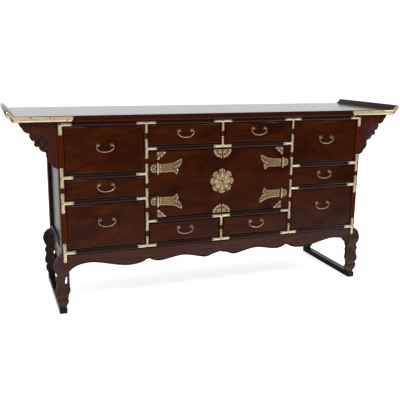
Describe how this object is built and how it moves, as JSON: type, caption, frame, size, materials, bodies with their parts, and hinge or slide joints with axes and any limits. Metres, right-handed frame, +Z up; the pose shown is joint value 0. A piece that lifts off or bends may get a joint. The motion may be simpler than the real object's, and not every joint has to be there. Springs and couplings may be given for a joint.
{
  "type": "sideboard",
  "caption": "Long lacquered wood sideboard with upturned top, sliding drawers with swinging brass bails, a pair of strap-hinged doors, carved legs and floor runners.",
  "frame": {"origin": "on the floor, under the middle of the top", "axes": "+X along the length to the right as seen from the front, +Y to the back, +Z up"},
  "size_m": [1.846, 0.496, 0.877],
  "materials": {
    "lacquered_wood": "glossy dark red-brown lacquer",
    "figured_wood": "glossy dark lacquer over figured grain",
    "plain_wood": "plain stained board",
    "brass": "antique satin brass"
  },
  "bodies": {
    "carcass": {"table_top": "lacquered_wood", "front_left_leg": "lacquered_wood", "front_right_leg": "lacquered_wood", "rear_left_leg": "lacquered_wood", "rear_right_leg": "lacquered_wood", "left_runner": "lacquered_wood", "right_runner": "lacquered_wood", "left_bracket": "lacquered_wood", "right_bracket": "lacquered_wood", "left_side_panel": "lacquered_wood", "right_side_panel": "lacquered_wood", "top_rail": "lacquered_wood", "bottom_board": "lacquered_wood", "left_upper_shelf": "lacquered_wood", "left_lower_shelf": "lacquered_wood", "right_upper_shelf": "lacquered_wood", "right_lower_shelf": "lacquered_wood", "centre_upper_shelf": "lacquered_wood", "centre_lower_shelf": "lacquered_wood", "left_partition": "lacquered_wood", "right_partition": "lacquered_wood", "upper_divider": "lacquered_wood", "lower_divider": "lacquered_wood", "front_apron": "lacquered_wood", "back_panel": "plain_wood", "left_upper_hinge_leaf": "brass", "left_lower_hinge_leaf": "brass", "right_upper_hinge_leaf": "brass", "right_lower_hinge_leaf": "brass"},
    "left_top_drawer": {"left_top_drawer": "figured_wood"},
    "left_top_bail": {"left_top_bail": "brass"},
    "left_middle_drawer": {"left_middle_drawer": "figured_wood"},
    "left_middle_bail": {"left_middle_bail": "brass"},
    "left_bottom_drawer": {"left_bottom_drawer": "figured_wood"},
    "left_bottom_bail": {"left_bottom_bail": "brass"},
    "right_top_drawer": {"right_top_drawer": "figured_wood"},
    "right_top_bail": {"right_top_bail": "brass"},
    "right_middle_drawer": {"right_middle_drawer": "figured_wood"},
    "right_middle_bail": {"right_middle_bail": "brass"},
    "right_bottom_drawer": {"right_bottom_drawer": "figured_wood"},
    "right_bottom_bail": {"right_bottom_bail": "brass"},
    "centre_top_left_drawer": {"centre_top_left_drawer": "figured_wood"},
    "centre_top_left_bail": {"centre_top_left_bail": "brass"},
    "centre_bottom_left_drawer": {"centre_bottom_left_drawer": "figured_wood"},
    "centre_bottom_left_bail": {"centre_bottom_left_bail": "brass"},
    "centre_top_right_drawer": {"centre_top_right_drawer": "figured_wood"},
    "centre_top_right_bail": {"centre_top_right_bail": "brass"},
    "centre_bottom_right_drawer": {"centre_bottom_right_drawer": "figured_wood"},
    "centre_bottom_right_bail": {"centre_bottom_right_bail": "brass"},
    "left_door": {"left_door": "figured_wood", "left_medallion": "brass", "left_upper_hinge_strap": "brass", "left_lower_hinge_strap": "brass"},
    "left_pull": {"left_pull": "brass"},
    "right_door": {"right_door": "figured_wood", "right_medallion": "brass", "right_upper_hinge_strap": "brass", "right_lower_hinge_strap": "brass"},
    "right_pull": {"right_pull": "brass"}
  },
  "joints": [
    {"name": "left_top_drawer_slide", "type": "slide", "parent": "carcass", "child": "left_top_drawer", "axis": [0, -1, 0], "range_m": [0, 0.3]},
    {"name": "left_top_bail_swing", "type": "hinge", "parent": "left_top_drawer", "child": "left_top_bail", "pos_m": [-0.53125, -0.234, 0.729], "axis": [-1, 0, 0], "range_deg": [0, 85]},
    {"name": "left_middle_drawer_slide", "type": "slide", "parent": "carcass", "child": "left_middle_drawer", "axis": [0, -1, 0], "range_m": [0, 0.3]},
    {"name": "left_middle_bail_swing", "type": "hinge", "parent": "left_middle_drawer", "child": "left_middle_bail", "pos_m": [-0.53125, -0.234, 0.55996], "axis": [-1, 0, 0], "range_deg": [0, 85]},
    {"name": "left_bottom_drawer_slide", "type": "slide", "parent": "carcass", "child": "left_bottom_drawer", "axis": [0, -1, 0], "range_m": [0, 0.3]},
    {"name": "left_bottom_bail_swing", "type": "hinge", "parent": "left_bottom_drawer", "child": "left_bottom_bail", "pos_m": [-0.53125, -0.234, 0.4075], "axis": [-1, 0, 0], "range_deg": [0, 85]},
    {"name": "right_top_drawer_slide", "type": "slide", "parent": "carcass", "child": "right_top_drawer", "axis": [0, -1, 0], "range_m": [0, 0.3]},
    {"name": "right_top_bail_swing", "type": "hinge", "parent": "right_top_drawer", "child": "right_top_bail", "pos_m": [0.53125, -0.234, 0.729], "axis": [-1, 0, 0], "range_deg": [0, 85]},
    {"name": "right_middle_drawer_slide", "type": "slide", "parent": "carcass", "child": "right_middle_drawer", "axis": [0, -1, 0], "range_m": [0, 0.3]},
    {"name": "right_middle_bail_swing", "type": "hinge", "parent": "right_middle_drawer", "child": "right_middle_bail", "pos_m": [0.53125, -0.234, 0.55996], "axis": [-1, 0, 0], "range_deg": [0, 85]},
    {"name": "right_bottom_drawer_slide", "type": "slide", "parent": "carcass", "child": "right_bottom_drawer", "axis": [0, -1, 0], "range_m": [0, 0.3]},
    {"name": "right_bottom_bail_swing", "type": "hinge", "parent": "right_bottom_drawer", "child": "right_bottom_bail", "pos_m": [0.53125, -0.234, 0.4075], "axis": [-1, 0, 0], "range_deg": [0, 85]},
    {"name": "centre_top_left_drawer_slide", "type": "slide", "parent": "carcass", "child": "centre_top_left_drawer", "axis": [0, -1, 0], "range_m": [0, 0.3]},
    {"name": "centre_top_left_bail_swing", "type": "hinge", "parent": "centre_top_left_drawer", "child": "centre_top_left_bail", "pos_m": [-0.1765, -0.234, 0.7801], "axis": [-1, 0, 0], "range_deg": [0, 85]},
    {"name": "centre_bottom_left_drawer_slide", "type": "slide", "parent": "carcass", "child": "centre_bottom_left_drawer", "axis": [0, -1, 0], "range_m": [0, 0.3]},
    {"name": "centre_bottom_left_bail_swing", "type": "hinge", "parent": "centre_bottom_left_drawer", "child": "centre_bottom_left_bail", "pos_m": [-0.1765, -0.234, 0.34503], "axis": [-1, 0, 0], "range_deg": [0, 85]},
    {"name": "centre_top_right_drawer_slide", "type": "slide", "parent": "carcass", "child": "centre_top_right_drawer", "axis": [0, -1, 0], "range_m": [0, 0.3]},
    {"name": "centre_top_right_bail_swing", "type": "hinge", "parent": "centre_top_right_drawer", "child": "centre_top_right_bail", "pos_m": [0.1765, -0.234, 0.7801], "axis": [-1, 0, 0], "range_deg": [0, 85]},
    {"name": "centre_bottom_right_drawer_slide", "type": "slide", "parent": "carcass", "child": "centre_bottom_right_drawer", "axis": [0, -1, 0], "range_m": [0, 0.3]},
    {"name": "centre_bottom_right_bail_swing", "type": "hinge", "parent": "centre_bottom_right_drawer", "child": "centre_bottom_right_bail", "pos_m": [0.1765, -0.234, 0.34503], "axis": [-1, 0, 0], "range_deg": [0, 85]},
    {"name": "left_door_hinge", "type": "hinge", "parent": "carcass", "child": "left_door", "pos_m": [-0.3037, -0.2306, 0.545], "axis": [0, 0, -1], "range_deg": [0, 95]},
    {"name": "left_pull_swing", "type": "hinge", "parent": "left_door", "child": "left_pull", "pos_m": [-0.013, -0.2338, 0.543], "axis": [-1, 0, 0], "range_deg": [0, 80]},
    {"name": "right_door_hinge", "type": "hinge", "parent": "carcass", "child": "right_door", "pos_m": [0.3037, -0.2306, 0.545], "axis": [0, 0, 1], "range_deg": [0, 95]},
    {"name": "right_pull_swing", "type": "hinge", "parent": "right_door", "child": "right_pull", "pos_m": [0.013, -0.2338, 0.543], "axis": [-1, 0, 0], "range_deg": [0, 80]}
  ]
}
